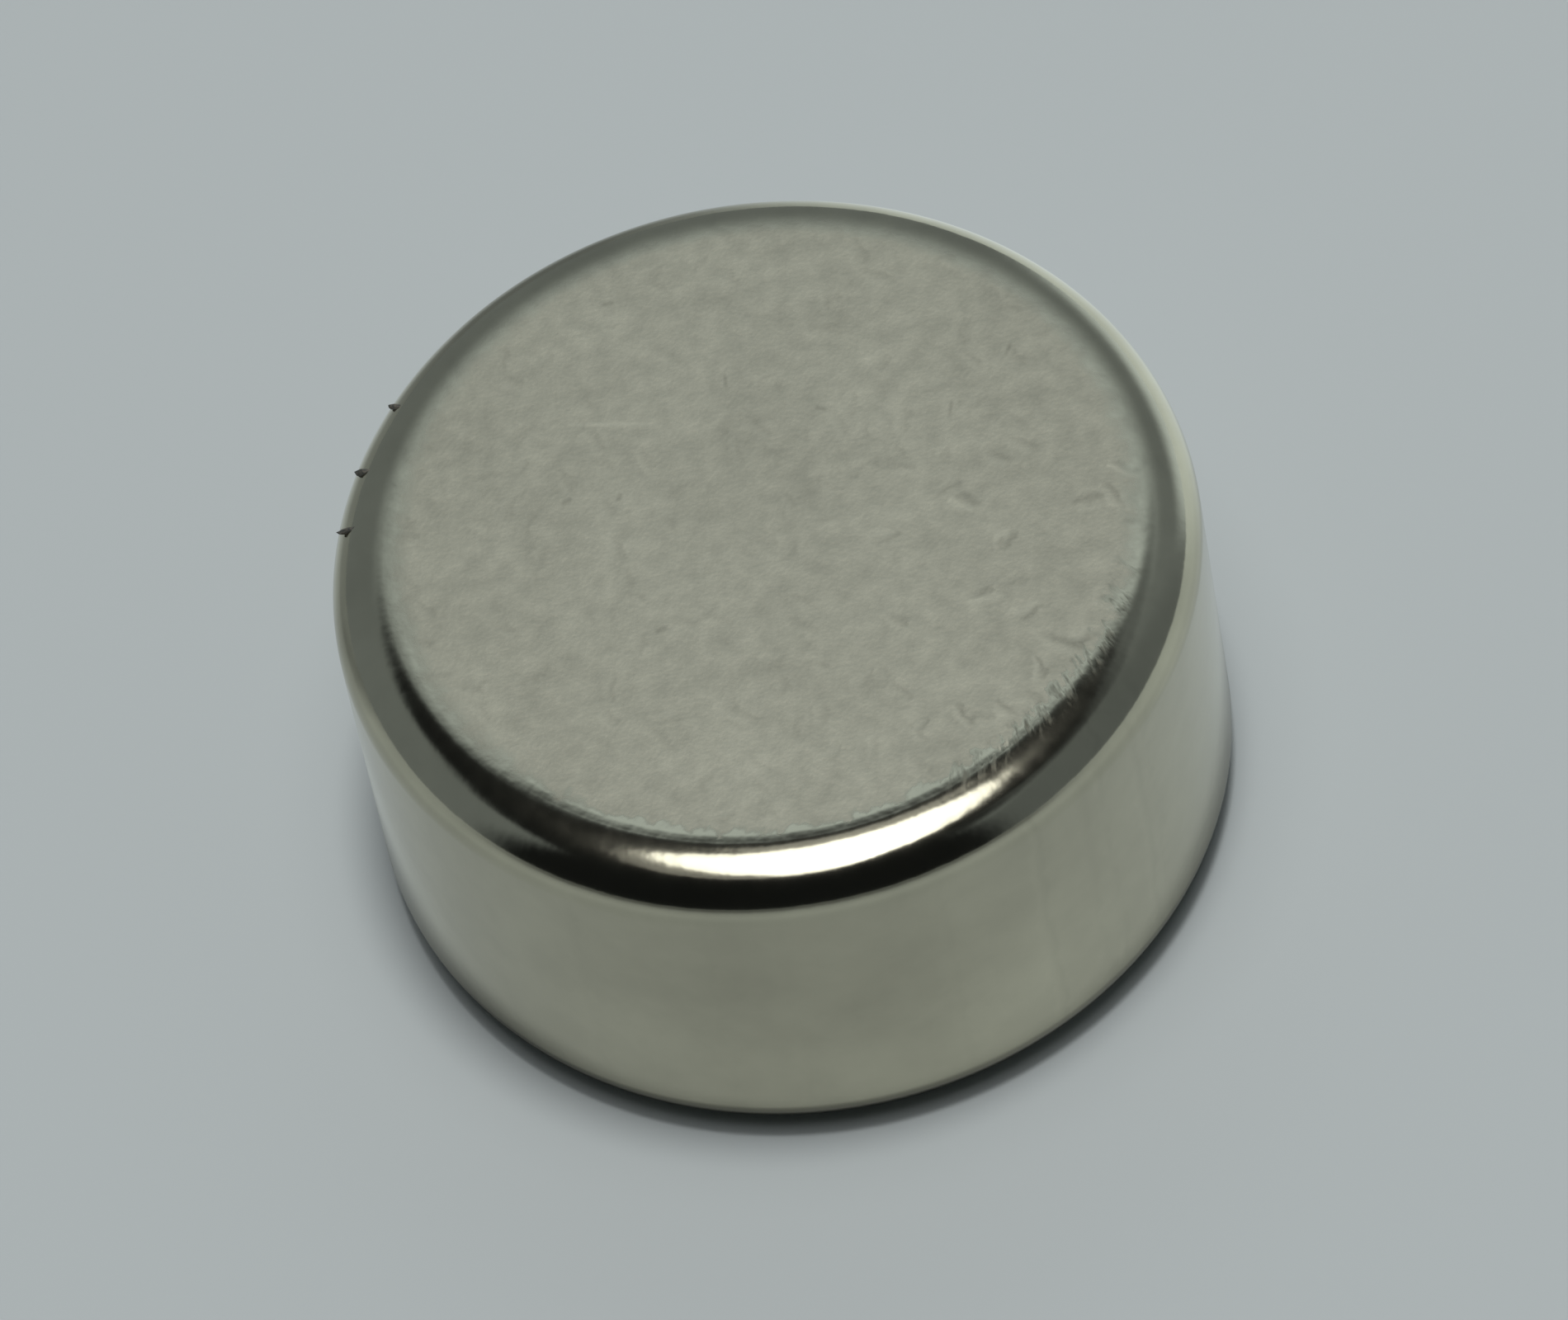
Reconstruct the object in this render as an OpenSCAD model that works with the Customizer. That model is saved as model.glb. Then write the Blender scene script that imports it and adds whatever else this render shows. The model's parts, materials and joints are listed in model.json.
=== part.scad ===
// Disc magnet: one pressed, sintered and plated solid. It has two flat pole faces, a
// straight side wall, and rims rounded by tumbling: a wider round, the shoulder, leaves
// each pole face and runs into a tighter round, which runs into the side wall.
// It stands on its lower pole face, with the origin at the middle of that face.

/* [Disc] */
// Diameter over the side wall
disc_d = 8; // [5:0.5:30]
// Height from one pole face to the other
disc_h = 4; // [2:0.5:20]

/* [Rims] */
// Radius of the round that runs into the side wall
round_r = 0.5; // [0.2:0.05:0.7]
// Radius of the shoulder that runs into the pole face
shoulder_r = 0.8; // [0.75:0.05:1.5]
// Angle that the shoulder turns through before the round takes over, in degrees
shoulder_turn = 25; // [10:1:40]

/* [Hidden] */

$fn = 96;
plating_colour = [0.70, 0.70, 0.65];

disc_r = disc_d / 2;
// The round's centre lies this far from the shoulder's, on the line where the arcs meet
centre_gap = shoulder_r - round_r;
// Size of the whole rim: in from the side wall, and down from the pole face
rim_w = round_r + centre_gap * sin(shoulder_turn);
rim_h = shoulder_r - centre_gap * cos(shoulder_turn);
// Radius at which the flat of the pole face ends
flat_r = disc_r - rim_w;

// Half section of the upper rim, carried inwards and down into the body of the disc
module rim_section() {
    round_centre = [disc_r - round_r, disc_h - rim_h];
    shoulder_centre = [flat_r, disc_h - shoulder_r];
    joint_line = shoulder_r * [sin(shoulder_turn), cos(shoulder_turn)];

    translate(round_centre)
        circle(r = round_r);
    // The shoulder ends at the line through both centres, where the round takes over
    intersection() {
        translate(shoulder_centre)
            circle(r = shoulder_r);
        polygon([
            [0, rim_h],
            [0, disc_h + shoulder_r],
            round_centre + joint_line,
            round_centre,
            [round_centre.x, rim_h]
        ]);
    }
}

// Half section of the disc, from its axis to the side wall
module disc_section() {
    square([flat_r, disc_h]);
    translate([0, rim_h])
        square([disc_r, disc_h - 2 * rim_h]);
    rim_section();
    translate([0, disc_h])
        mirror([0, 1])
            rim_section();
}

module magnet() {
    color(plating_colour)
        rotate_extrude()
            disc_section();
}

magnet();
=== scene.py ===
"""Dresses the disc magnet: its turned body, its nickel plating with the marks it has picked
up, the iron specks that cling to its rim, and the studio that it is looked at in."""

from __future__ import annotations

import json
import logging
import math
from dataclasses import dataclass
from enum import Enum
from typing import Any

import bpy
from mathutils import Matrix, Vector


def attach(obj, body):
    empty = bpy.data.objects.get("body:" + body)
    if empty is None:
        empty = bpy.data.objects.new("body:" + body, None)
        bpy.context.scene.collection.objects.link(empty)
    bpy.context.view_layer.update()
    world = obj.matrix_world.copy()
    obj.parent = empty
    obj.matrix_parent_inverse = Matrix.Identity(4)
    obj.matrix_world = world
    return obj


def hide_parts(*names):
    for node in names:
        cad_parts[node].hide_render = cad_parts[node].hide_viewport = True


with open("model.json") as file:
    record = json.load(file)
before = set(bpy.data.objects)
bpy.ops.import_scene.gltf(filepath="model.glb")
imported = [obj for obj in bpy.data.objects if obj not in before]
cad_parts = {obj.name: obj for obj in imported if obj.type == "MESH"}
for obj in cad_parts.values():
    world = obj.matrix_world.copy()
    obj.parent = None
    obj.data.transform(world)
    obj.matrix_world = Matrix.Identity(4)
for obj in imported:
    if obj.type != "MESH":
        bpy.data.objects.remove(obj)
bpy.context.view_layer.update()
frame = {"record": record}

LOG = logging.getLogger("disc_magnet")
MM = 0.001
WELD = 1e-8
TINY = 1e-6
BLACK = (0.0, 0.0, 0.0, 1.0)

# The Mix node's sockets for colours. They go by number, because numbers, vectors and
# colours each have sockets of the same names on it.
MIX_FACTOR, MIX_DARK, MIX_LIGHT, MIX_BLEND = 0, 6, 7, 2

Colour = tuple[float, float, float]


class Sum(Enum):
    """Sums that the expressions below need, by the names Blender gives them."""

    ADD = "ADD"
    SUBTRACT = "SUBTRACT"
    MULTIPLY = "MULTIPLY"
    DIVIDE = "DIVIDE"
    MINIMUM = "MINIMUM"
    MAXIMUM = "MAXIMUM"
    ABSOLUTE = "ABSOLUTE"
    SINE = "SINE"
    COSINE = "COSINE"
    SIGN = "SIGN"
    SQRT = "SQRT"


class Wire:
    """A socket that carries a number, so that sums on it can be written as Python sums."""

    math_node = "ShaderNodeMath"

    def __init__(self, graph: "Graph", socket: bpy.types.NodeSocket) -> None:
        """Wraps a socket.

        Args:
            graph: The graph that new nodes go into.
            socket: The output that carries the value.
        """
        self.graph = graph
        self.socket = socket

    def _sum(self, kind: Sum, *terms: Any) -> Any:
        """Adds one node to the graph and gives its result, of the same kind as self."""
        node = self.graph.node(
            self.math_node, {"operation": kind.value}, dict(enumerate(terms))
        )
        return type(self)(self.graph, node.outputs[0])

    def __add__(self, other: Any) -> Any:
        """Self plus other."""
        return self._sum(Sum.ADD, self, other)

    def __radd__(self, other: Any) -> Any:
        """Other plus self."""
        return self._sum(Sum.ADD, other, self)

    def __sub__(self, other: Any) -> Any:
        """Self less other."""
        return self._sum(Sum.SUBTRACT, self, other)

    def __rsub__(self, other: Any) -> Any:
        """Other less self."""
        return self._sum(Sum.SUBTRACT, other, self)

    def __mul__(self, other: Any) -> Any:
        """Self times other."""
        return self._sum(Sum.MULTIPLY, self, other)

    def __rmul__(self, other: Any) -> Any:
        """Other times self."""
        return self._sum(Sum.MULTIPLY, other, self)

    def __truediv__(self, other: Any) -> Any:
        """Self over other."""
        return self._sum(Sum.DIVIDE, self, other)

    def __abs__(self) -> Any:
        """Self without its sign."""
        return self._sum(Sum.ABSOLUTE, self)

    def least(self, other: Any) -> "Wire":
        """The smaller of the two."""
        return self._sum(Sum.MINIMUM, self, other)

    def most(self, other: Any) -> "Wire":
        """The larger of the two."""
        return self._sum(Sum.MAXIMUM, self, other)

    def sine(self) -> "Wire":
        """The sine of self, in radians."""
        return self._sum(Sum.SINE, self)

    def cosine(self) -> "Wire":
        """The cosine of self, in radians."""
        return self._sum(Sum.COSINE, self)

    def sign(self) -> "Wire":
        """1, 0 or -1, as self is above, at or below nought."""
        return self._sum(Sum.SIGN, self)

    def root(self) -> "Wire":
        """The square root of self."""
        return self._sum(Sum.SQRT, self)

    def ramp(self, low: float, high: float, start: float = 0.0, end: float = 1.0) -> "Wire":
        """Eases from one level to another as self rises.

        Args:
            low: Where the change begins.
            high: Where it is complete.
            start: The level before it.
            end: The level after it.

        Returns:
            The eased level.
        """
        node = self.graph.node(
            "ShaderNodeMapRange",
            {"interpolation_type": "SMOOTHSTEP"},
            {"Value": self, "From Min": low, "From Max": high, "To Min": start, "To Max": end},
        )
        return Wire(self.graph, node.outputs[0])

    def span(self, low: Any, high: Any) -> "Wire":
        """Runs in a straight line from 0 to 1 as self rises, and stops there.

        Args:
            low: Where it starts from 0.
            high: Where it reaches 1.

        Returns:
            The level.
        """
        node = self.graph.node(
            "ShaderNodeMapRange",
            {"clamp": True},
            {"Value": self, "From Min": low, "From Max": high},
        )
        return Wire(self.graph, node.outputs[0])


class VectorWire(Wire):
    """A socket that carries a vector or a colour, with its sums done by Vector Math."""

    math_node = "ShaderNodeVectorMath"

    def times(self, factor: float | Wire) -> "VectorWire":
        """Self made longer by a factor."""
        node = self.graph.node(
            self.math_node, {"operation": "SCALE"}, {0: self, "Scale": factor}
        )
        return VectorWire(self.graph, node.outputs[0])

    def unit(self) -> "VectorWire":
        """Self made one long."""
        node = self.graph.node(self.math_node, {"operation": "NORMALIZE"}, {0: self})
        return VectorWire(self.graph, node.outputs[0])

    def parts(self) -> tuple[Wire, Wire, Wire]:
        """The three numbers that self is made of."""
        node = self.graph.node("ShaderNodeSeparateXYZ", {}, {0: self})
        x, y, z = (Wire(self.graph, out) for out in node.outputs)
        return x, y, z


class Graph:
    """A node tree that is being built, for a shader or for geometry."""

    def __init__(self, tree: bpy.types.NodeTree) -> None:
        """Starts on an empty tree.

        Args:
            tree: The tree that the nodes go into.
        """
        self.tree = tree
        tree.nodes.clear()

    def node(
        self,
        kind: str,
        settings: dict[str, Any] | None = None,
        inputs: dict[str | int, Any] | None = None,
    ) -> bpy.types.Node:
        """Adds one node.

        Args:
            kind: Blender's name for the node's type.
            settings: The node's own settings, which are made first.
            inputs: A value or a link for each socket, by the socket's name or number.

        Returns:
            The new node.
        """
        node = self.tree.nodes.new(kind)
        for name, setting in (settings or {}).items():
            setattr(node, name, setting)
        for name, given in (inputs or {}).items():
            if isinstance(given, Wire):
                self.tree.links.new(given.socket, node.inputs[name])
            elif isinstance(given, bpy.types.NodeSocket):
                self.tree.links.new(given, node.inputs[name])
            else:
                node.inputs[name].default_value = given
        return node

    def number(self, node: bpy.types.Node, output: str | int = 0) -> Wire:
        """A node's output as a number that can be reckoned with."""
        return Wire(self, node.outputs[output])

    def vector(self, node: bpy.types.Node, output: str | int = 0) -> VectorWire:
        """A node's output as a vector that can be reckoned with."""
        return VectorWire(self, node.outputs[output])

    def join(self, x: Any, y: Any, z: Any) -> VectorWire:
        """Makes a vector of three numbers."""
        return self.vector(self.node("ShaderNodeCombineXYZ", {}, {"X": x, "Y": y, "Z": z}))

    def noise(self, place: Wire, scale: float, detail: float, rough: float) -> Wire:
        """A soft random level about 0.5.

        Args:
            place: Where to look it up.
            scale: Lumps to each unit of place.
            detail: Finer layers added to it.
            rough: How strong the finer layers are.

        Returns:
            The level.
        """
        node = self.node(
            "ShaderNodeTexNoise",
            {},
            {"Vector": place, "Scale": scale, "Detail": detail, "Roughness": rough},
        )
        return self.number(node)

    def tint(self, factor: Wire, dark: Colour, light: Colour) -> VectorWire:
        """Blends from one colour to another.

        Args:
            factor: 0 for the first colour, 1 for the second.
            dark: The first colour.
            light: The second colour.

        Returns:
            The blend.
        """
        node = self.node(
            "ShaderNodeMix",
            {"data_type": "RGBA"},
            {MIX_FACTOR: factor, MIX_DARK: (*dark, 1.0), MIX_LIGHT: (*light, 1.0)},
        )
        return self.vector(node, MIX_BLEND)

    def shade(self, name: str, inputs: dict[str, Any]) -> None:
        """Ends a material in one Principled shader.

        Args:
            name: The name that the shader node carries.
            inputs: What its sockets are given.
        """
        shader = self.node("ShaderNodeBsdfPrincipled", {"name": name}, inputs)
        self.node("ShaderNodeOutputMaterial", {}, {"Surface": shader.outputs[0]})


@dataclass(frozen=True)
class Stretch:
    """A stretch of some measure, over which a mask comes in or fades out."""

    low: float
    high: float

    def rise(self, measure: Wire, full: float = 1.0) -> Wire:
        """Nothing before the stretch and full after it."""
        return measure.ramp(self.low, self.high, 0.0, full)

    def fall(self, measure: Wire, full: float = 1.0) -> Wire:
        """Full before the stretch and nothing after it."""
        return measure.ramp(self.low, self.high, full, 0.0)


@dataclass(frozen=True)
class Pattern:
    """A soft random pattern: its lumps to each unit of place, and its finer layers."""

    scale: float
    detail: float = 2.0
    rough: float = 0.5
    middle: float = 0.5

    def raw(self, place: Wire) -> Wire:
        """The pattern's level at a place, about its middle."""
        return place.graph.noise(place, self.scale, self.detail, self.rough)

    def swing(self, place: Wire) -> Wire:
        """The pattern at a place, as much below nought as above it."""
        return self.raw(place) - self.middle


def new_material(name: str) -> tuple[bpy.types.Material, Graph]:
    """Makes an empty material.

    Args:
        name: What the material is called.

    Returns:
        The material and the graph that builds its shader.
    """
    made = bpy.data.materials.new(name)
    made.use_nodes = True
    return made, Graph(made.node_tree)


def new_object(name: str, content: Any) -> bpy.types.Object:
    """Puts a mesh, camera or lamp in the scene as an object.

    Args:
        name: What the object is called.
        content: The mesh, camera or lamp.

    Returns:
        The object.
    """
    made = bpy.data.objects.new(name, content)
    bpy.context.collection.objects.link(made)
    return made


def settle(
    name: str, group: bpy.types.NodeTree, values: dict[str, Any], start: bpy.types.Mesh
) -> bpy.types.Object:
    """Runs a geometry tree once and keeps its result as a plain mesh.

    Args:
        name: What the new object is called.
        group: The geometry tree.
        values: The value of each of the tree's inputs, by the socket's identifier.
        start: The mesh that the tree starts from.

    Returns:
        The object, with no modifier left on it.
    """
    piece = new_object(name, start)
    maker = piece.modifiers.new("maker", "NODES")
    maker.node_group = group
    for identifier, value in values.items():
        maker[identifier] = value
    settled = piece.evaluated_get(bpy.context.evaluated_depsgraph_get())
    piece.data = bpy.data.meshes.new_from_object(settled)
    piece.data.name = name
    piece.modifiers.remove(maker)
    return piece


class Socket(Enum):
    """Kinds of value that a geometry tree takes."""

    LENGTH = "NodeSocketFloat"
    COUNT = "NodeSocketInt"
    FINISH = "NodeSocketMaterial"
    MESH = "NodeSocketGeometry"


class Recipe:
    """A geometry tree with named inputs, and the values it is to be run with."""

    def __init__(self, name: str, inputs: dict[str, tuple[Socket, Any]]) -> None:
        """Starts the tree and names its inputs.

        Args:
            name: What the tree is called.
            inputs: Kind and value of each input, by its name.
        """
        self.group = bpy.data.node_groups.new(name, "GeometryNodeTree")
        self.graph = Graph(self.group)
        self.values: dict[str, Any] = {}
        face = self.group.interface
        for label, (kind, value) in inputs.items():
            socket = face.new_socket(label, in_out="INPUT", socket_type=kind.value)
            if value is not None:
                self.values[socket.identifier] = value
        face.new_socket("Mesh", in_out="OUTPUT", socket_type=Socket.MESH.value)
        self.given = self.graph.node("NodeGroupInput")

    def value(self, label: str) -> Wire:
        """One of the inputs, by its name."""
        return self.graph.number(self.given, label)

    def finish(self, mesh: bpy.types.NodeSocket, name: str, start: bpy.types.Mesh) -> Any:
        """Closes the tree with real faces and a finish, and runs it.

        Args:
            mesh: The output that carries the shape.
            name: What the new object is called.
            start: The mesh that the tree starts from.

        Returns:
            The object, as a plain mesh.
        """
        whole = self.graph.node("GeometryNodeRealizeInstances", {}, {0: mesh})
        dressed = self.graph.node(
            "GeometryNodeSetMaterial",
            {},
            {"Geometry": whole.outputs[0], "Material": self.value("Finish")},
        )
        self.graph.node("NodeGroupOutput", {}, {"Mesh": dressed.outputs[0]})
        return settle(name, self.group, self.values, start)


@dataclass(frozen=True)
class RimSection:
    """The section of a rim: a shoulder off the pole face, then a round into the side wall."""

    shoulder_r: float = 0.8
    round_r: float = 0.5
    shoulder_turn: float = math.radians(25)

    @property
    def width(self) -> float:
        """How far the rim reaches in from the side wall, in millimetres."""
        return self.round_r + (self.shoulder_r - self.round_r) * math.sin(self.shoulder_turn)


@dataclass(frozen=True)
class Disc:
    """The disc's size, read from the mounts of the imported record, in millimetres."""

    radius: float
    height: float
    rim: RimSection

    @classmethod
    def from_record(cls, record: dict[str, Any]) -> "Disc":
        """Reads the radius off the side wall and the height off the upper pole face.

        Args:
            record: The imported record.

        Returns:
            The disc's size.
        """
        mounts = {mount["name"]: mount for mount in record["mounts"]}
        radius = mounts["side_wall"]["dims"]["r_mm"]
        height = mounts["upper_pole_face"]["pos_m"][2] / MM
        return cls(radius, height, RimSection())

    @property
    def flat_r(self) -> float:
        """Radius at which the flat of a pole face ends, in millimetres."""
        return self.radius - self.rim.width


@dataclass(frozen=True)
class Side:
    """A side of the disc: how far right and forward it faces, and where its mask comes in."""

    right: float
    forward: float
    onset: Stretch


class Spot:
    """A place on the disc in millimetres, and which way it lies from the axis.

    Its distance out is never less than least_out, which keeps that way defined on the axis.
    """

    least_out = 0.01

    def __init__(self, graph: Graph, flat_r: float) -> None:
        """Reads the place off the piece's own coordinates.

        Args:
            graph: The material's graph.
            flat_r: Radius at which the flat of a pole face ends.
        """
        self.graph = graph
        self.point = graph.vector(graph.node("ShaderNodeTexCoord"), "Object").times(1 / MM)
        self.x, self.y, _ = self.point.parts()
        self.out = (self.x * self.x + self.y * self.y).root().most(self.least_out)
        self.ray_x, self.ray_y = self.x / self.out, self.y / self.out
        self.past_flat = self.out - flat_r

    def on(self, side: Side) -> Wire:
        """The mask of one side of the disc."""
        return side.onset.rise(self.ray_x * side.right - self.ray_y * side.forward)


@dataclass(frozen=True)
class Mark:
    """One nick or scratch on the pole faces: its place and size in millimetres, and its turn.

    Its ends fade over end_fade, in half lengths, and its sides over side_fade of its width.
    """

    x: float
    y: float
    length: float
    width: float
    turn: float = 0.0
    end_fade: Stretch = Stretch(0.5, 1.2)
    side_fade: float = 0.8

    def mask(self, spot: Spot) -> Wire:
        """Where the mark is: full along its middle, and faded at its ends and sides.

        Args:
            spot: The place on the disc.

        Returns:
            1 in the mark and 0 off it.
        """
        turn = math.radians(self.turn)
        dx, dy = spot.x - self.x, spot.y - self.y
        along = abs(dx * math.cos(turn) + dy * math.sin(turn))
        across = abs(dy * math.cos(turn) - dx * math.sin(turn))
        half = self.length / 2
        ends = Stretch(half * self.end_fade.low, half * self.end_fade.high)
        sides = Stretch(0.0, self.width * self.side_fade)
        return ends.fall(along) * sides.fall(across)


@dataclass(frozen=True)
class Scuffs:
    """Short scratches strewn at random, one to a cell, drawn in the colour only: painted shade in
    each scratch and a painted highlight on a ridge along one side.

    The sizes are half of a scratch's length and width in millimetres, cells is to a millimetre,
    and start is where the cells are counted from. The share of the cells given by bare has no
    scratch, and the next share, given by faint, has weaker ones. The ridge's painted highlight
    lies burr_side half widths from the scratch's middle, with burr_highlight as its strength. The
    scratch's painted shade is as dark as it gets over full_part of its length.
    """

    cells: float
    half_length: float
    half_width: float
    bare: float
    start: tuple[float, float] = (0.0, 0.0)
    burr_side: float = 1.5
    burr_highlight: float = 0.6
    full_part: float = 0.4
    faint: float = 0.4

    def strokes(self, place: VectorWire) -> Wire:
        """Draws the scratches.

        Args:
            place: Place on the face, in millimetres.

        Returns:
            The strokes: below nought in the scratch's painted shade, above it in the painted
                highlight of the ridge beside it.
        """
        graph = place.graph
        flat = place + graph.join(*self.start, 0.0)
        cell = graph.node(
            "ShaderNodeTexVoronoi",
            {"voronoi_dimensions": "2D"},
            {"Vector": flat, "Scale": self.cells},
        )
        dx, dy, _ = (flat - graph.vector(cell, "Position")).parts()
        chance, bearing, _ = graph.vector(cell, "Color").parts()
        turn = bearing * math.pi
        along = abs(dx * turn.cosine() + dy * turn.sine())
        across = dy * turn.cosine() - dx * turn.sine()
        half = Stretch(0.0, self.half_width)
        # Painted shade in the scratch and a painted highlight on the ridge beside it, in the
        # colour only.
        painted_groove_shade = half.fall(abs(across))
        painted_ridge_highlight = half.fall(abs(across - self.half_width * self.burr_side), self.burr_highlight)
        ends = Stretch(self.half_length * self.full_part, self.half_length)
        scratched = Stretch(self.bare, min(self.bare + self.faint, 1.0))
        return (painted_ridge_highlight - painted_groove_shade) * ends.fall(along) * scratched.rise(chance)


@dataclass(frozen=True)
class SatinEdge:
    """The edge of the satin that grinding left on a pole face, in millimetres.

    The satin is a little off centre. Its fade is faded wide, and only crisp wide at the
    front. On the worn side, at the front right, it is frayed into streaks. The ragged
    values are how far each pattern pushes the edge about. The hairs run outward: hair_lean
    is how much they lean for each millimetre, and hair_run how much they change. The blend
    is measured in widths of the fade.
    """

    centre: tuple[float, float] = (0.040, 0.095)
    crisp: float = 0.03
    faded: float = 0.14
    front: Side = Side(0.0, 1.0, Stretch(0.45, 0.87))
    worn: Side = Side(0.71, 0.70, Stretch(0.86, 0.96))
    worn_crisper: float = 0.06
    blend: Stretch = Stretch(-1.0, 1.5)
    mottle_ragged: float = 0.32
    hair_ragged: float = 0.12
    worn_ragged: float = 0.2
    hairs: Pattern = Pattern(34.0, 2.0, 0.6)
    hair_lean: float = 0.15
    hair_run: float = 0.15
    streak_start: Stretch = Stretch(-0.14, 0.0)
    streak_end: Stretch = Stretch(0.10, 0.26)
    streak_reach: float = 0.9

    def lay(self, spot: Spot, flat_r: float, mottle: Wire) -> tuple[Wire, Wire]:
        """Works out the edge.

        Args:
            spot: The place on the disc.
            flat_r: Radius at which the flat of a pole face ends.
            mottle: The plating's own mottle, which makes the edge uneven.

        Returns:
            The gloss, from 0 on the satin to 1 past its edge, and the streaks.
        """
        lean = spot.past_flat * self.hair_lean
        ray = spot.graph.join(
            spot.ray_x - spot.ray_y * lean,
            spot.ray_y + spot.ray_x * lean,
            spot.out * self.hair_run,
        )
        hairs = self.hairs.swing(ray)
        worn, front = spot.on(self.worn), spot.on(self.front)
        dx, dy = spot.x - self.centre[0], spot.y - self.centre[1]
        edge = (dx * dx + dy * dy).root() - flat_r
        streaked = self.streak_start.rise(edge) * self.streak_end.fall(edge) * worn
        streaks = hairs.most(0.0) * streaked
        ragged = mottle * self.mottle_ragged + hairs * (worn * self.worn_ragged + self.hair_ragged)
        past_edge = edge + ragged + streaks * self.streak_reach
        soft = self.faded - front * (self.faded - self.crisp) - worn * self.worn_crisper
        return self.blend.rise(past_edge / soft.most(self.crisp)), streaks


@dataclass(frozen=True)
class PoleMarks:
    """The marks on the pole faces: random scuffs, and the nicks and scratch with a place.

    The sways bend the rows of scuffs. The corner is the part that has been knocked most:
    past corner_x to the right, and short of corner_y to the back. Elsewhere the scuffs
    have plain_share of their strength.
    """

    fine: Scuffs = Scuffs(2.6, 0.17, 0.06, 0.30)
    bold: Scuffs = Scuffs(1.3, 0.24, 0.065, 0.5, (4.3, 1.7))
    mottle_sway: tuple[float, float] = (0.30, 0.15)
    swirl_sway: float = 0.3
    corner_x: Stretch = Stretch(0.6, 1.6)
    corner_y: Stretch = Stretch(-0.2, 0.6)
    corner_share: float = 0.6
    plain_share: float = 0.4
    dark: tuple[Mark, ...] = (
        Mark(-1.06, -0.86, 0.14, 0.07, 10),
        Mark(-0.96, 2.88, 0.12, 0.05, 0),
        Mark(-1.68, 0.76, 0.12, 0.06, 20),
        Mark(-1.20, 0.69, 0.10, 0.05, 60),
        Mark(-0.04, 1.74, 0.20, 0.04, 85),
        Mark(2.56, 1.46, 0.16, 0.04, 60),
        Mark(0.77, 1.22, 0.14, 0.05, -30),
        Mark(1.93, 0.93, 0.18, 0.04, 75),
    )
    pale: tuple[Mark, ...] = (Mark(-1.16, 1.52, 0.84, 0.05, -13.5),)
    pale_strength: float = 0.6

    def lay(self, spot: Spot, mottle: Wire, swirl: Wire) -> Wire:
        """Draws the marks.

        Args:
            spot: The place on the disc.
            mottle: The plating's mottle, which bends the scuffs.
            swirl: The plating's swirl, which bends them too.

        Returns:
            The marks: below nought where dark, above it where pale.
        """
        sway_x, sway_y = self.mottle_sway
        wavy = spot.graph.join(
            spot.x + mottle * sway_x, spot.y + swirl * self.swirl_sway - mottle * sway_y, 0.0
        )
        corner = self.corner_x.rise(spot.x) * self.corner_y.fall(spot.y)
        marks = (self.fine.strokes(wavy) + self.bold.strokes(wavy)) * (
            corner * self.corner_share + self.plain_share
        )
        for mark in self.dark:
            marks = marks - mark.mask(spot)
        for mark in self.pale:
            marks = marks + mark.mask(spot) * self.pale_strength
        return marks


@dataclass(frozen=True)
class PlatingRelief:
    """Heights in the plating that are too small for the mesh, in millimetres.

    Where the flat of the pole face ends it drops a little: by a steep lip at the front and
    a softer roll at the left. Their fades are measured from the end of the flat.
    """

    mottle: float = 0.0015
    grain: float = 0.0012
    streaks: float = 0.0030
    lip: float = 0.0024
    lip_fade: Stretch = Stretch(-0.05, 0.04)
    roll: float = 0.0060
    roll_fade: Stretch = Stretch(-0.13, 0.09)
    left: Side = Side(-0.97, 0.26, Stretch(0.70, 0.92))

    def rim_drop(self, spot: Spot, front: Side) -> Wire:
        """How far the face has dropped at its rim.

        Args:
            spot: The place on the disc.
            front: The side on which the drop is steep.

        Returns:
            The drop.
        """
        lip = self.lip_fade.rise(spot.past_flat) * spot.on(front) * self.lip
        roll = self.roll_fade.rise(spot.past_flat) * spot.on(self.left) * self.roll
        return lip + roll


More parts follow.
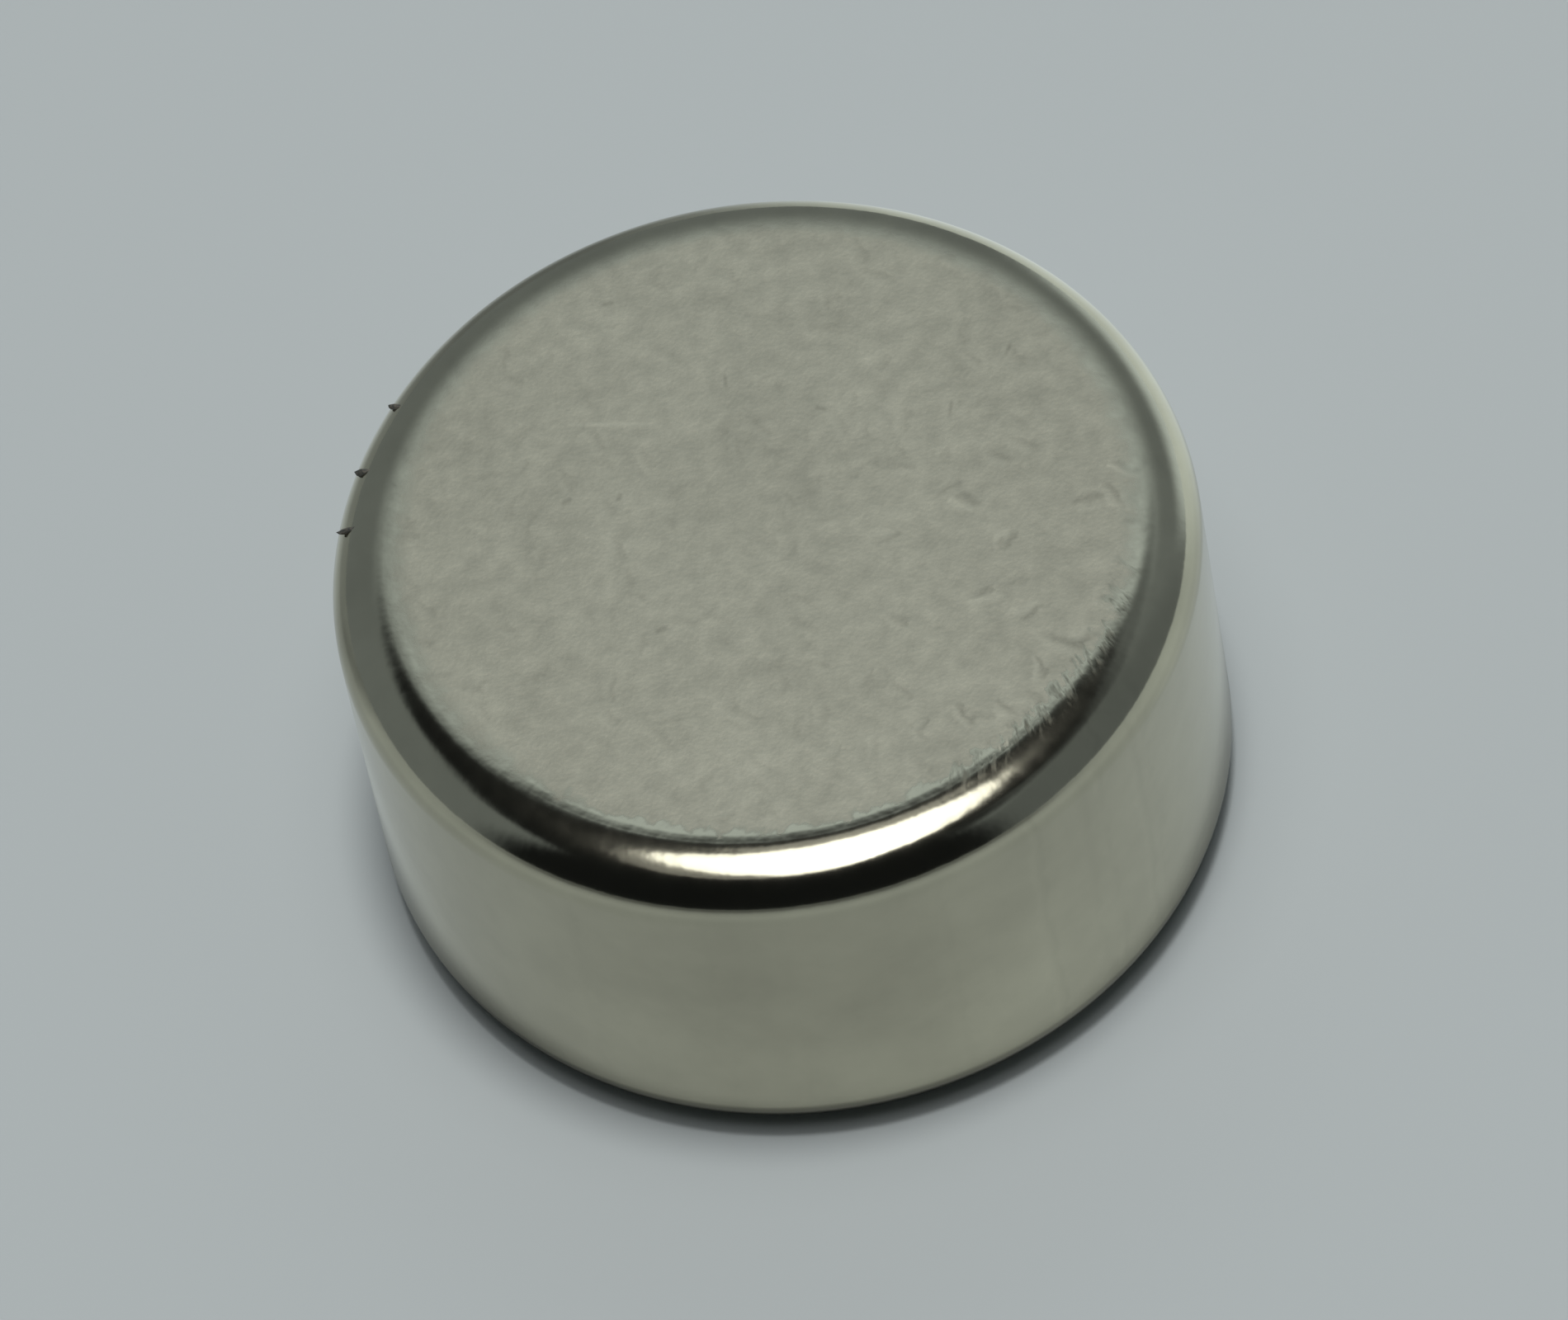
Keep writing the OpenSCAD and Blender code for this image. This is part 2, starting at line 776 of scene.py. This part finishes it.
@dataclass(frozen=True)
class NickelFinish:
    """The plating: satin where the pole faces were ground, glossy on rims and side wall.

    The tones are how much each pattern darkens or brightens the metal. The gloss shows
    gloss_texture of the mottle, grain and marks, and the satin shows satin_texture more.
    """

    satin_colour: Colour = (0.384, 0.371, 0.2935)
    gloss_colour: Colour = (0.441, 0.425, 0.328)
    satin_roughness: float = 0.36
    gloss_roughness: float = 0.12
    mottle_roughness: float = 0.05
    streak_roughness: float = 0.8
    cloud: Pattern = Pattern(0.5, 1.0)
    swirl: Pattern = Pattern(1.6)
    mottle: Pattern = Pattern(5.0)
    grain: Pattern = Pattern(24.0, 1.0)
    cloud_tone: float = 0.20
    mottle_tone: float = 0.33
    grain_tone: float = 0.10
    mark_tone: float = 0.19
    streak_tone: float = 2.7
    satin_texture: float = 0.8
    gloss_texture: float = 0.2
    edge: SatinEdge = SatinEdge()
    marks: PoleMarks = PoleMarks()
    relief: PlatingRelief = PlatingRelief()

    def material(self, disc: Disc) -> bpy.types.Material:
        """Builds the plating's material.

        Args:
            disc: The disc's size, which places the satin's edge.

        Returns:
            The material.
        """
        made, graph = new_material("nickel_plating")
        spot = Spot(graph, disc.flat_r)
        cloud, swirl = self.cloud.swing(spot.point), self.swirl.swing(spot.point)
        mottle, grain = self.mottle.swing(spot.point), self.grain.swing(spot.point)
        gloss, streaks = self.edge.lay(spot, disc.flat_r, mottle)
        satin = 1 - gloss
        marks = self.marks.lay(spot, mottle, swirl)

        # The marks carry the scuffs' painted shade and highlight into the colour.
        texture = mottle * self.mottle_tone + grain * self.grain_tone + marks * self.mark_tone
        shade = (
            (cloud + swirl) * self.cloud_tone
            + texture * (satin * self.satin_texture + self.gloss_texture)
            - streaks * self.streak_tone
            + 1
        )
        rough = (
            gloss * (self.gloss_roughness - self.satin_roughness)
            + self.satin_roughness
            + mottle * self.mottle_roughness
            + streaks * gloss * self.streak_roughness
        )
        height = (
            mottle * self.relief.mottle
            + grain * satin * self.relief.grain
            + streaks * self.relief.streaks
            - self.relief.rim_drop(spot, self.edge.front)
        )
        bump = graph.node(
            "ShaderNodeBump", {}, {"Strength": 1.0, "Distance": MM, "Height": height}
        )
        graph.shade(
            "plating",
            {
                "Base Color": graph.tint(gloss, self.satin_colour, self.gloss_colour).times(shade),
                "Metallic": 1.0,
                "Roughness": rough,
                "Normal": bump.outputs["Normal"],
            },
        )
        return made


@dataclass
class MagnetBody:
    """The turned body of the magnet, as one closed skin."""

    disc: Disc
    finish: NickelFinish
    around: int = 384
    wall_rings: int = 3
    rim_rings: int = 54
    flat_rings: int = 10

    def _recipe(self) -> Recipe:
        """Names the lathe's inputs and their values.

        Returns:
            The lathe's tree, with nothing but its inputs so far.
        """
        rim = self.disc.rim
        return Recipe(
            "turned_disc",
            {
                "Radius": (Socket.LENGTH, self.disc.radius * MM),
                "Height": (Socket.LENGTH, self.disc.height * MM),
                "Shoulder Radius": (Socket.LENGTH, rim.shoulder_r * MM),
                "Round Radius": (Socket.LENGTH, rim.round_r * MM),
                "Shoulder Turn": (Socket.LENGTH, rim.shoulder_turn),
                "Around": (Socket.COUNT, self.around),
                "Wall Rings": (Socket.COUNT, self.wall_rings),
                "Rim Rings": (Socket.COUNT, self.rim_rings),
                "Flat Rings": (Socket.COUNT, self.flat_rings),
                "Finish": (Socket.FINISH, self.finish.material(self.disc)),
            },
        )

    def build(self) -> bpy.types.Object:
        """Turns the body: a grid whose one side runs along the section, the other round it.

        Returns:
            The finished piece.
        """
        recipe = self._recipe()
        graph = recipe.graph
        radius, height = recipe.value("Radius"), recipe.value("Height")
        shoulder, round_r = recipe.value("Shoulder Radius"), recipe.value("Round Radius")
        turn = recipe.value("Shoulder Turn")
        rim_starts = recipe.value("Wall Rings")
        rim_ends = rim_starts + recipe.value("Rim Rings")
        rings = rim_ends + recipe.value("Flat Rings")
        grid = graph.node(
            "GeometryNodeMeshGrid",
            {},
            {
                "Size X": 2.0,
                "Size Y": math.tau,
                "Vertices X": rings * 2 + 1,
                "Vertices Y": recipe.value("Around") + 1,
            },
        )
        along, angle, _ = graph.vector(graph.node("GeometryNodeInputPosition")).parts()
        ring = abs(along) * rings
        up_wall = ring.span(0.0, rim_starts)
        over_rim = ring.span(rim_starts, rim_ends)
        over_flat = ring.span(rim_ends, rings)
        tilt = (1 - over_rim) * (math.pi / 2)
        on_shoulder = tilt.least(turn)
        on_round = tilt.most(turn)
        gap = shoulder - round_r
        flat_r = radius - round_r - gap * turn.sine()
        rim_drop = shoulder - gap * turn.cosine()
        out = (
            flat_r * (1 - over_flat * over_flat)
            + shoulder * on_shoulder.sine()
            + round_r * (on_round.sine() - turn.sine())
        )
        drop = shoulder * (1 - on_shoulder.cosine()) + round_r * (
            turn.cosine() - on_round.cosine()
        )
        half_wall = height / 2 - rim_drop
        lift = along.sign() * (half_wall * up_wall + rim_drop - drop) + height / 2
        turned = graph.node(
            "GeometryNodeSetPosition",
            {},
            {
                "Geometry": grid.outputs["Mesh"],
                "Position": graph.join(out * angle.sine(), out * angle.cosine(), lift),
            },
        )
        closed = graph.node(
            "GeometryNodeMergeByDistance", {}, {"Geometry": turned.outputs[0], "Distance": WELD}
        )
        smooth = graph.node("GeometryNodeSetShadeSmooth", {}, {"Geometry": closed.outputs[0]})
        piece = recipe.finish(smooth.outputs[0], "plated_disc", bpy.data.meshes.new("blank"))
        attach(piece, "root")
        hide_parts("magnet")
        LOG.info("plated disc: %d faces", len(piece.data.polygons))
        return piece


@dataclass(frozen=True)
class IronFinish:
    """Dull iron, nearly black, with a little rust in it."""

    dark: Colour = (0.060, 0.064, 0.058)
    rusty: Colour = (0.120, 0.110, 0.090)
    patches: Pattern = Pattern(40.0)
    rust_onset: Stretch = Stretch(0.35, 0.65)
    metallic: float = 0.4
    roughness: float = 0.45
    rust_roughness: float = 0.3

    def material(self) -> bpy.types.Material:
        """Builds the material of the specks.

        Returns:
            The material.
        """
        made, graph = new_material("iron_specks")
        place = graph.vector(graph.node("ShaderNodeTexCoord"), "Object").times(1 / MM)
        patch = self.patches.raw(place)
        graph.shade(
            "iron",
            {
                "Base Color": graph.tint(self.rust_onset.rise(patch), self.dark, self.rusty),
                "Metallic": self.metallic,
                "Roughness": patch * self.rust_roughness + self.roughness,
            },
        )
        return made


@dataclass
class RimGrit:
    """The iron specks that the magnet holds on its upper rim.

    The bearings are in degrees from the right, and the sizes in millimetres. A speck has a
    radius of size along it and slimness times that across it, each times a random number
    between the two in lengths or girths.
    """

    disc: Disc
    finish: IronFinish
    bearings: tuple[float, ...] = (142.8, 154.4, 164.1)
    seat_r: float = 3.847
    seat_drop: float = 0.1685
    size: float = 0.13
    slimness: float = 0.26
    girths: tuple[float, float] = (0.8, 1.2)
    lengths: tuple[float, float] = (0.8, 1.1)
    slope: float = -0.5
    lumps: Pattern = Pattern(1.3)
    lump_height: float = 1.4
    seed: int = 5

    def _seats(self) -> bpy.types.Mesh:
        """Marks where the specks sit.

        Returns:
            A mesh of one point on the rim for each speck.
        """
        drop = self.disc.height - self.seat_drop
        spots = []
        for bearing in self.bearings:
            turn = math.radians(bearing)
            spots.append(
                (
                    self.seat_r * MM * math.cos(turn),
                    self.seat_r * MM * math.sin(turn),
                    drop * MM,
                )
            )
        seats = bpy.data.meshes.new("seats")
        seats.from_pydata(spots, [], [])
        return seats

    def _crystal(self, graph: Graph) -> bpy.types.Node:
        """Makes the uneven ball that every speck is stretched from.

        Args:
            graph: The tree that its nodes go into.

        Returns:
            The node that gives the ball, about one unit in radius.
        """
        ball = graph.node("GeometryNodeMeshIcoSphere", {}, {"Radius": 1.0, "Subdivisions": 2})
        lumps = self.lumps.swing(graph.vector(graph.node("GeometryNodeInputPosition")))
        normal = graph.vector(graph.node("GeometryNodeInputNormal"))
        return graph.node(
            "GeometryNodeSetPosition",
            {},
            {"Geometry": ball.outputs["Mesh"], "Offset": normal.times(lumps * self.lump_height)},
        )

    def build(self) -> bpy.types.Object:
        """Sets an uneven crystal of iron at each bearing, pointing out and down.

        Returns:
            The finished piece.
        """
        recipe = Recipe(
            "rim_grit",
            {
                "Seats": (Socket.MESH, None),
                "Size": (Socket.LENGTH, self.size * MM),
                "Seed": (Socket.COUNT, self.seed),
                "Finish": (Socket.FINISH, self.finish.material()),
            },
        )
        graph = recipe.graph
        x, y, _ = graph.vector(graph.node("GeometryNodeInputPosition")).parts()
        outward = graph.join(x, y, 0.0).unit() + graph.join(0.0, 0.0, self.slope)
        lean = graph.node(
            "FunctionNodeAlignRotationToVector", {"axis": "Z"}, {"Vector": outward}
        )
        slim, fat = (self.slimness * girth for girth in self.girths)
        short, long = self.lengths
        stretch = graph.node(
            "FunctionNodeRandomValue",
            {"data_type": "FLOAT_VECTOR"},
            {0: (slim, slim, short), 1: (fat, fat, long), "Seed": recipe.value("Seed")},
        )
        strewn = graph.node(
            "GeometryNodeInstanceOnPoints",
            {},
            {
                "Points": recipe.given.outputs["Seats"],
                "Instance": self._crystal(graph).outputs[0],
                "Rotation": lean.outputs[0],
                "Scale": graph.vector(stretch).times(recipe.value("Size")),
            },
        )
        piece = recipe.finish(strewn.outputs[0], "rim_grit", self._seats())
        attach(piece, "root")
        LOG.info("rim grit: %d faces", len(piece.data.polygons))
        return piece


@dataclass(frozen=True)
class Viewpoint:
    """Where the camera stands: its reach from the disc's foot, its elevation and its tilt."""

    reach: float = 126.57 * MM
    elevation: float = math.radians(55.3)
    roll: float = -0.20092
    aim: tuple[float, float, float] = (-0.023 * MM, 0.0, 1.928 * MM)
    lens: float = 310.9
    nearest: float = 10 * MM
    farthest: float = 2000 * MM

    def place(self) -> bpy.types.Object:
        """Makes the camera and hands it to the scene.

        Returns:
            The camera.
        """
        camera = new_object("camera", bpy.data.cameras.new("camera"))
        camera.data.lens = self.lens
        camera.data.clip_start = self.nearest
        camera.data.clip_end = self.farthest
        camera.location = (
            0.0,
            -self.reach * math.cos(self.elevation),
            self.reach * math.sin(self.elevation),
        )
        facing = (Vector(self.aim) - camera.location).to_track_quat("-Z", "Y")
        turned = facing.to_matrix() @ Matrix.Rotation(self.roll, 3, "Z")
        camera.rotation_euler = turned.to_euler()
        bpy.context.scene.camera = camera
        return camera


@dataclass(frozen=True)
class Lamp:
    """An oval soft lamp high above the disc, aimed at it, with its angles in degrees."""

    name: str
    rightward: float
    forward: float
    half_width: float
    half_depth: float
    power: float
    height: float = 2.0

    def _reach(self, angle: float) -> float:
        """How far out an angle off the vertical comes at the lamp's height."""
        return self.height * math.tan(math.radians(angle))

    def hang(self) -> bpy.types.Object:
        """Makes the lamp.

        Returns:
            The lamp.
        """
        light = bpy.data.lights.new(self.name, "AREA")
        light.shape = "ELLIPSE"
        light.size = 2 * self._reach(self.half_width)
        light.size_y = 2 * self._reach(self.half_depth)
        light.energy = self.power
        lamp = new_object(self.name, light)
        lamp.location = (self._reach(self.rightward), -self._reach(self.forward), self.height)
        lamp.rotation_euler = (-lamp.location).to_track_quat("-Z", "Y").to_euler()
        return lamp


@dataclass(frozen=True)
class Sector:
    """A sector seen from above: its middle and its half widths, in degrees.

    The middle is counted from the camera's side towards the right. The sector's mask is
    full as far as inner to each side of it, and has faded out at outer.
    """

    middle: float
    inner: float
    outer: float


class Bearing:
    """Which way a place lies from the axis, seen from above, and how far."""

    def __init__(self, x: Wire, y: Wire) -> None:
        """Works out the distance from the axis once, for every sector.

        Args:
            x: Place to the right.
            y: Place to the back.
        """
        self.distance = (x * x + y * y).root()
        self.x = x / self.distance.most(TINY)
        self.y = y / self.distance.most(TINY)

    def within(self, sector: Sector) -> Wire:
        """The mask of a sector.

        Args:
            sector: The sector.

        Returns:
            1 within the sector and 0 beyond it.
        """
        turn = math.radians(sector.middle)
        facing = self.x * math.sin(turn) - self.y * math.cos(turn)
        fade = Stretch(
            math.cos(math.radians(sector.outer)), math.cos(math.radians(sector.inner))
        )
        return fade.rise(facing)


class Reach(Enum):
    """Which part of the table a patch of painted light lies on."""

    NEAR = "up to its stretch"
    FAR = "past its stretch"


@dataclass(frozen=True)
class PaintedLightPatch:
    """A patch of painted light on the table that only mirrors see: a painted reflection where its
    level is positive, painted shade where it is negative.

    Its stretch is the distance from the axis, in millimetres, over which it comes in or
    fades out. It has a sector, a stretch or both: without a stretch it is the same at
    every distance, and without a sector it goes all round.
    """

    level: float
    sector: Sector | None = None
    stretch: Stretch | None = None
    reach: Reach = Reach.NEAR

    def over(self, bearing: Bearing, away: Wire) -> Wire:
        """What the patch's painted light adds to the table's level.

        Args:
            bearing: Which way the place lies.
            away: Its distance from the axis, in millimetres.

        Returns:
            The patch's share.
        """
        masks: list[Wire] = []
        if self.sector:
            masks.append(bearing.within(self.sector))
        if self.stretch and self.reach is Reach.NEAR:
            masks.append(self.stretch.fall(away))
        if self.stretch and self.reach is Reach.FAR:
            masks.append(self.stretch.rise(away))
        return math.prod(masks[1:], start=masks[0]) * self.level


@dataclass(frozen=True)
class Table:
    """The pale table top that the disc stands on, one even tone to the eye.

    The patches of painted light show only in mirrors: paler ones are painted reflections, and
    darker ones are painted shade, such as the painted shadow round the disc's foot.
    """

    colour: Colour = (0.412, 0.445, 0.446)
    roughness: float = 0.5
    specular: float = 0.2
    radius: float = 0.6
    gap: float = 0.005 * MM
    sides: int = 128
    # Painted reflections and painted shade, seen only in mirrors: the first is a painted shadow
    # round the disc's foot, the last is painted shade far out on the camera's side.
    painted_light_patches: tuple[PaintedLightPatch, ...] = (
        PaintedLightPatch(-0.7, Sector(0, 60, 125), Stretch(4.1, 4.45)),
        PaintedLightPatch(0.18, Sector(0, 15, 55), Stretch(4.6, 5.6)),
        PaintedLightPatch(0.28, Sector(-115, 35, 60), Stretch(4.1, 4.8)),
        PaintedLightPatch(1.0, Sector(140, 12, 40), Stretch(3.5, 4.7)),
        PaintedLightPatch(0.15, Sector(62, 28, 55)),
        PaintedLightPatch(-0.13, Sector(180, 20, 80), Stretch(5.3, 6.3)),
        PaintedLightPatch(0.22, Sector(100, 12, 40), Stretch(6, 8), Reach.FAR),
        PaintedLightPatch(1.12, Sector(140, 8, 42), Stretch(5, 9), Reach.FAR),
        PaintedLightPatch(0.3, Sector(-138, 8, 24), Stretch(6, 8), Reach.FAR),
        PaintedLightPatch(0.2, None, Stretch(8, 14), Reach.FAR),
        PaintedLightPatch(-0.75, Sector(-145, 25, 45), Stretch(6, 17), Reach.FAR),
        PaintedLightPatch(-0.8, Sector(-10, 45, 75), Stretch(12, 45), Reach.FAR),
    )

    def _material(self) -> bpy.types.Material:
        """Builds the table's material, with the painted reflections and shade added where a mirror
        sees it.

        Returns:
            The material.
        """
        made, graph = new_material("table_top")
        x, y, _ = graph.vector(graph.node("ShaderNodeTexCoord"), "Object").parts()
        bearing = Bearing(x, y)
        away = bearing.distance * (1 / MM)
        painted_shares = [light_patch.over(bearing, away) for light_patch in self.painted_light_patches]
        mirrored = graph.number(graph.node("ShaderNodeLightPath"), "Is Glossy Ray")
        # Painted light: the patches lighten or darken the table's colour for glossy rays only.
        level = sum(painted_shares[1:], start=painted_shares[0]) * mirrored + 1
        graph.shade(
            "table",
            {
                "Base Color": graph.join(*self.colour).times(level),
                "Roughness": self.roughness,
                "Specular IOR Level": self.specular,
            },
        )
        return made

    def build(self) -> bpy.types.Object:
        """Lays the table top, a hair below the disc.

        Returns:
            The table.
        """
        turns = [math.tau * step / self.sides for step in range(self.sides)]
        rim = [
            (self.radius * math.cos(turn), self.radius * math.sin(turn), -self.gap)
            for turn in turns
        ]
        mesh = bpy.data.meshes.new("table")
        mesh.from_pydata(rim, [], [tuple(range(self.sides))])
        mesh.materials.append(self._material())
        table = new_object("table", mesh)
        return table


@dataclass(frozen=True)
class Glow:
    """An oval glow overhead: how much it is narrowed sideways, and where it fades out."""

    narrowing: float
    fade: Stretch

    def over(self, off_x: Wire, off_y: Wire) -> Wire:
        """The glow's mask, from how far a place lies off its middle."""
        return self.fade.fall((off_x * off_x * self.narrowing + off_y * off_y).root())


@dataclass(frozen=True)
class Room:
    """The dim room: a round shell, dark on the camera's side and grey elsewhere.

    Places and heights on it are given as if its radius were 1. The wall glows on its lit
    side, from below up to lit_top, which the lifts raise under the brow and at the right
    and left. A window brightens it overhead and another low at the back. The ceiling above
    it is dark.
    """

    radius: float = 4.0
    rings: int = 24
    sides: int = 48
    tint: Colour = (0.885, 1.0, 1.07)
    darkness: float = 0.012
    wall_light: float = 0.24
    dim_side: Sector = Sector(60, 30, 55)
    dim_drop: float = 0.06
    window_at: tuple[float, float] = (0.057, 0.048)
    window_depth: float = 0.96
    window: Glow = Glow(2.44, Stretch(0.45, 1.0))
    window_light: float = 0.67
    low_window: Sector = Sector(134, 8, 26)
    low_window_fade: Stretch = Stretch(0.0, 0.44)
    low_window_light: float = 0.66
    lit_side: Sector = Sector(161.75, 117, 129.5)
    lit_top: Stretch = Stretch(0.685, 0.777)
    brow: Glow = Glow(3.43, Stretch(0.34, 1.0))
    brow_lift: float = 0.20
    right: Sector = Sector(90, 15, 50)
    right_lift: float = 0.085
    left: Sector = Sector(-100, 12, 30)
    left_lift: float = 0.05
    ceiling: Stretch = Stretch(0.84, 0.885)

    def _mesh(self) -> bpy.types.Mesh:
        """Builds the closed round shell.

        Returns:
            The shell.
        """
        corners = []
        for ring in range(1, self.rings):
            polar = math.pi * ring / self.rings
            for side in range(self.sides):
                turn = math.tau * side / self.sides
                way = (
                    math.sin(polar) * math.cos(turn),
                    math.sin(polar) * math.sin(turn),
                    math.cos(polar),
                )
                corners.append(tuple(self.radius * part for part in way))
        faces = [
            tuple(range(self.sides)),
            tuple(range(len(corners) - self.sides, len(corners))),
        ]
        for ring in range(self.rings - 2):
            for side in range(self.sides):
                a = ring * self.sides + side
                b = ring * self.sides + (side + 1) % self.sides
                faces.append((a, b, b + self.sides, a + self.sides))
        mesh = bpy.data.meshes.new("room")
        mesh.from_pydata(corners, [], faces)
        return mesh

    def _light(self, x: Wire, y: Wire, height: Wire) -> Wire:
        """How strongly the wall glows.

        Args:
            x: How far right the wall lies, with the shell's radius as 1.
            y: How far back it lies.
            height: How high it lies.

        Returns:
            The strength.
        """
        bearing = Bearing(x, y)
        right, left = bearing.within(self.right), bearing.within(self.left)
        off_x = x - self.window_at[0]
        off_y = (y - self.window_at[1]) / self.window_depth
        window = self.window.over(off_x, off_y) * (1 - right) * self.window_light
        low_window = bearing.within(self.low_window) * self.low_window_fade.fall(
            height, self.low_window_light
        )
        dimmed = bearing.within(self.dim_side) * self.dim_drop
        glow = window + low_window + self.wall_light - dimmed
        brow = self.brow.over(off_x, off_y) * self.brow_lift
        above = height - brow - right * self.right_lift - left * self.left_lift
        lit = bearing.within(self.lit_side) * self.lit_top.fall(above)
        return glow * lit * self.ceiling.fall(height) + self.darkness

    def _material(self) -> bpy.types.Material:
        """Builds the wall's material, which only glows and reflects nothing.

        Returns:
            The material.
        """
        made, graph = new_material("room_wall")
        way = graph.vector(graph.node("ShaderNodeTexCoord"), "Object").unit()
        graph.shade(
            "wall",
            {
                "Base Color": BLACK,
                "Specular IOR Level": 0.0,
                "Emission Color": graph.join(*self.tint).times(self._light(*way.parts())),
                "Emission Strength": 1.0,
            },
        )
        made.cycles.emission_sampling = "NONE"
        return made

    def build(self) -> bpy.types.Object:
        """Puts the shell round the table, out of the camera's own sight.

        Returns:
            The room.
        """
        mesh = self._mesh()
        mesh.materials.append(self._material())
        room = new_object("room", mesh)
        room.visible_camera = False
        return room


@dataclass(frozen=True)
class Studio:
    """The table, the soft lamps and the dim room round the disc."""

    table: Table = Table()
    room: Room = Room()
    lamps: tuple[Lamp, ...] = (
        Lamp("soft_lamp", 1.2, 3.2, 16.2, 17.6, 10.4),
        Lamp("nose_lamp", -0.3, 19.5, 8.0, 6.0, 1.35),
        Lamp("halo_lamp", -5.0, 8.0, 18.0, 17.0, 1.2),
        Lamp("tail_lamp", 1.5, -17.5, 6.0, 5.5, 0.2),
        Lamp("core_lamp", 2.3, 0.3, 6.0, 6.0, 21.5),
    )

    def _backdrop(self) -> None:
        """Gives the world the table's tone."""
        world = bpy.data.worlds.new("backdrop")
        world.use_nodes = True
        graph = Graph(world.node_tree)
        shade = graph.node("ShaderNodeBackground", {}, {"Color": (*self.table.colour, 1.0)})
        graph.node("ShaderNodeOutputWorld", {}, {"Surface": shade.outputs[0]})
        bpy.context.scene.world = world

    def build(self) -> None:
        """Sets up everything round the disc."""
        self.table.build()
        self.room.build()
        self._backdrop()
        for lamp in self.lamps:
            lamp.hang()
        bpy.context.scene.view_settings.view_transform = "Standard"
        LOG.info("studio: %d lamps", len(self.lamps))


def main() -> None:
    """Builds the pieces and the studio, in order."""
    logging.basicConfig(level=logging.INFO)
    Viewpoint().place()
    disc = Disc.from_record(frame["record"])
    MagnetBody(disc, NickelFinish()).build()
    RimGrit(disc, IronFinish()).build()
    Studio().build()


if __name__ == "__main__":
    main()
